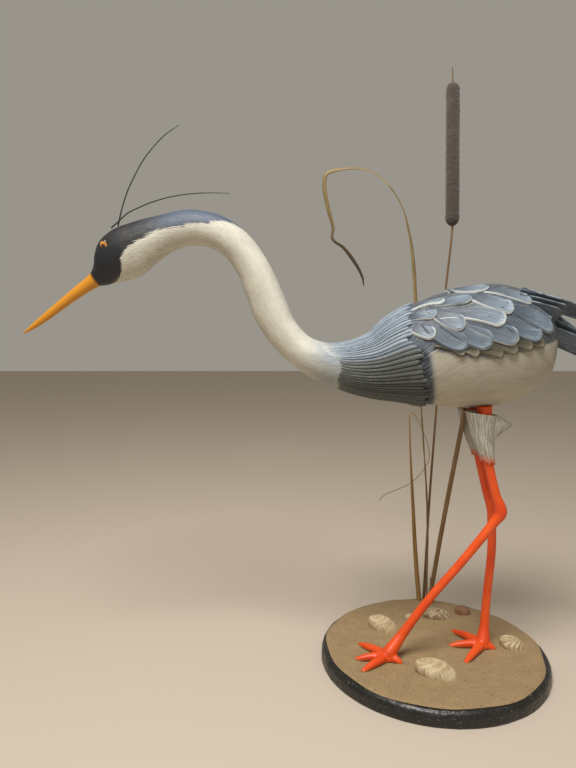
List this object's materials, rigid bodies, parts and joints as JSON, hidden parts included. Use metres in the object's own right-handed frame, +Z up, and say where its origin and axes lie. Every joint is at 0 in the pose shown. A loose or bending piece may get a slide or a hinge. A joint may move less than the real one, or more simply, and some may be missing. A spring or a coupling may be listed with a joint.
{
  "type": "wooden heron sculpture",
  "caption": "Carved and painted wooden wading bird striding on a round sanded base, with thin head plumes, dried reeds, a cattail and shells.",
  "frame": {"origin": "centre of the base's round underside, which rests on a table or shelf", "axes": "+Z up, -X towards the bill, +Y towards the reeds behind the bird"},
  "size_m": [0.8747, 0.356, 0.9831],
  "materials": {
    "base_paint": "black paint on wood, slightly glossy, chipped and scratched",
    "sand": "glued light brown sand with dark grains",
    "painted_plumage": "carved wood, brushed in white, blue grey, black and yellow ochre",
    "orange_paint": "orange red brushed paint on carved wood",
    "eye": "opaque, glossy, orange iris and black pupil",
    "collar": "grey painted, thin and stiff",
    "plume": "thin black bristle",
    "dried_reed": "dried plant stem, golden brown, dull",
    "cattail_felt": "dense dark grey brown fluff",
    "shell": "matt cream shell with growth rings",
    "brown_shell": "matt brown shell with a pale scalloped edge",
    "brown_stone": "smooth brown pebble"
  },
  "bodies": {
    "root": {"base": "base_paint", "sand_bed": "sand", "heron_figure": "painted_plumage", "leg_left": "orange_paint", "leg_right": "orange_paint", "eye_left": "eye", "eye_right": "eye", "thigh_collar_left": "collar", "thigh_collar_right": "collar", "plume_upper": "plume", "plume_lower": "plume", "cattail_stem": "dried_reed", "cattail_head": "cattail_felt", "bent_leaf": "dried_reed", "thin_reed": "dried_reed", "thick_reed": "dried_reed", "reed_stub_1": "dried_reed", "reed_stub_2": "dried_reed", "clam_shell_left": "shell", "clam_shell_front": "shell", "ringed_shell_right": "shell", "fan_shell_back": "brown_shell", "small_shell_back": "shell", "brown_pebble_back": "brown_stone"}
  },
  "joints": []
}
